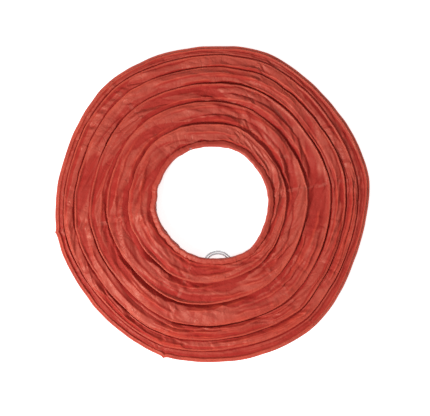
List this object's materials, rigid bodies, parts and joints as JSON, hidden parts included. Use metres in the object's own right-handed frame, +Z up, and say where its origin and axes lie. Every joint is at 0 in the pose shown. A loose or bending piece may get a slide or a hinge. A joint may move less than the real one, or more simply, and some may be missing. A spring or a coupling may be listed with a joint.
{
  "type": "paper lantern",
  "caption": "Round paper lantern folded flat: a ring of red paper bands over bamboo hoops, open at the neck, with a wire bail and hanging eye tucked underneath.",
  "frame": {"origin": "on the surface the folded lantern lies on, under the middle of its neck opening", "axes": "+Z up through the neck opening, the way the lantern opens; -Y towards the hanging eye; +X along the bail's pivot axis"},
  "size_m": [0.2999, 0.3, 0.012],
  "materials": {
    "paper_skin": "thin crumpled tissue with a faint satin glaze",
    "paper_hem": "double paper strip glued over the wire",
    "bamboo": "split bamboo, unvarnished",
    "steel_wire": "bright drawn wire",
    "clip_steel": "thin pressed sheet"
  },
  "bodies": {
    "lower_neck": {"neck_ring_lower": "steel_wire", "hem_lower": "paper_hem", "bail_clip_left": "clip_steel", "bail_clip_right": "clip_steel"},
    "hoop_body_01": {"hoop_01": "bamboo", "paper_band_01": "paper_skin"},
    "hoop_body_02": {"hoop_02": "bamboo", "paper_band_02": "paper_skin"},
    "hoop_body_03": {"hoop_03": "bamboo", "paper_band_03": "paper_skin"},
    "hoop_body_04": {"hoop_04": "bamboo", "paper_band_04": "paper_skin"},
    "hoop_body_05": {"hoop_05": "bamboo", "paper_band_05": "paper_skin"},
    "hoop_body_06": {"hoop_06": "bamboo", "paper_band_06": "paper_skin"},
    "hoop_body_07": {"hoop_07": "bamboo", "paper_band_07": "paper_skin", "paper_band_08": "paper_skin"},
    "hoop_body_08": {"hoop_08": "bamboo", "paper_band_09": "paper_skin"},
    "hoop_body_09": {"hoop_09": "bamboo", "paper_band_10": "paper_skin"},
    "hoop_body_10": {"hoop_10": "bamboo", "paper_band_11": "paper_skin"},
    "hoop_body_11": {"hoop_11": "bamboo", "paper_band_12": "paper_skin"},
    "hoop_body_12": {"hoop_12": "bamboo", "paper_band_13": "paper_skin"},
    "hoop_body_13": {"hoop_13": "bamboo", "paper_band_14": "paper_skin"},
    "upper_neck": {"neck_ring_upper": "steel_wire", "hem_upper": "paper_hem"},
    "bail": {"bail_arm_left": "steel_wire", "bail_arm_right": "steel_wire", "hanging_eye": "steel_wire"}
  },
  "joints": [
    {"name": "open_01", "type": "slide", "parent": "lower_neck", "child": "hoop_body_01", "axis": [0, 0, 1], "range_m": [0, 0.01185]},
    {"name": "open_02", "type": "slide", "parent": "hoop_body_01", "child": "hoop_body_02", "axis": [0, 0, 1], "range_m": [0, 0.01637]},
    {"name": "open_03", "type": "slide", "parent": "hoop_body_02", "child": "hoop_body_03", "axis": [0, 0, 1], "range_m": [0, 0.02001]},
    {"name": "open_04", "type": "slide", "parent": "hoop_body_03", "child": "hoop_body_04", "axis": [0, 0, 1], "range_m": [0, 0.02099]},
    {"name": "open_05", "type": "slide", "parent": "hoop_body_04", "child": "hoop_body_05", "axis": [0, 0, 1], "range_m": [0, 0.0231]},
    {"name": "open_06", "type": "slide", "parent": "hoop_body_05", "child": "hoop_body_06", "axis": [0, 0, 1], "range_m": [0, 0.02455]},
    {"name": "open_07", "type": "slide", "parent": "hoop_body_06", "child": "hoop_body_07", "axis": [0, 0, 1], "range_m": [0, 0.02378]},
    {"name": "open_08", "type": "slide", "parent": "hoop_body_07", "child": "hoop_body_08", "axis": [0, 0, 1], "range_m": [0, 0.02378]},
    {"name": "open_09", "type": "slide", "parent": "hoop_body_08", "child": "hoop_body_09", "axis": [0, 0, 1], "range_m": [0, 0.02345]},
    {"name": "open_10", "type": "slide", "parent": "hoop_body_09", "child": "hoop_body_10", "axis": [0, 0, 1], "range_m": [0, 0.022]},
    {"name": "open_11", "type": "slide", "parent": "hoop_body_10", "child": "hoop_body_11", "axis": [0, 0, 1], "range_m": [0, 0.01989]},
    {"name": "open_12", "type": "slide", "parent": "hoop_body_11", "child": "hoop_body_12", "axis": [0, 0, 1], "range_m": [0, 0.01717]},
    {"name": "open_13", "type": "slide", "parent": "hoop_body_12", "child": "hoop_body_13", "axis": [0, 0, 1], "range_m": [0, 0.01392]},
    {"name": "open_14", "type": "slide", "parent": "hoop_body_13", "child": "upper_neck", "axis": [0, 0, 1], "range_m": [0, 0.01024]},
    {"name": "bail_swing", "type": "hinge", "parent": "lower_neck", "child": "bail", "pos_m": [0, 0, 0.00195], "axis": [1, 0, 0], "range_deg": [0, 178]}
  ],
  "couplings": [
    {"joint": "open_02", "follows": "open_01", "ratio": 1.3811},
    {"joint": "open_03", "follows": "open_01", "ratio": 1.6885},
    {"joint": "open_04", "follows": "open_01", "ratio": 1.7714},
    {"joint": "open_05", "follows": "open_01", "ratio": 1.9497},
    {"joint": "open_06", "follows": "open_01", "ratio": 2.0715},
    {"joint": "open_07", "follows": "open_01", "ratio": 2.0067},
    {"joint": "open_08", "follows": "open_01", "ratio": 2.0067},
    {"joint": "open_09", "follows": "open_01", "ratio": 1.9786},
    {"joint": "open_10", "follows": "open_01", "ratio": 1.8568},
    {"joint": "open_11", "follows": "open_01", "ratio": 1.6785},
    {"joint": "open_12", "follows": "open_01", "ratio": 1.4489},
    {"joint": "open_13", "follows": "open_01", "ratio": 1.1747},
    {"joint": "open_14", "follows": "open_01", "ratio": 0.86369}
  ]
}
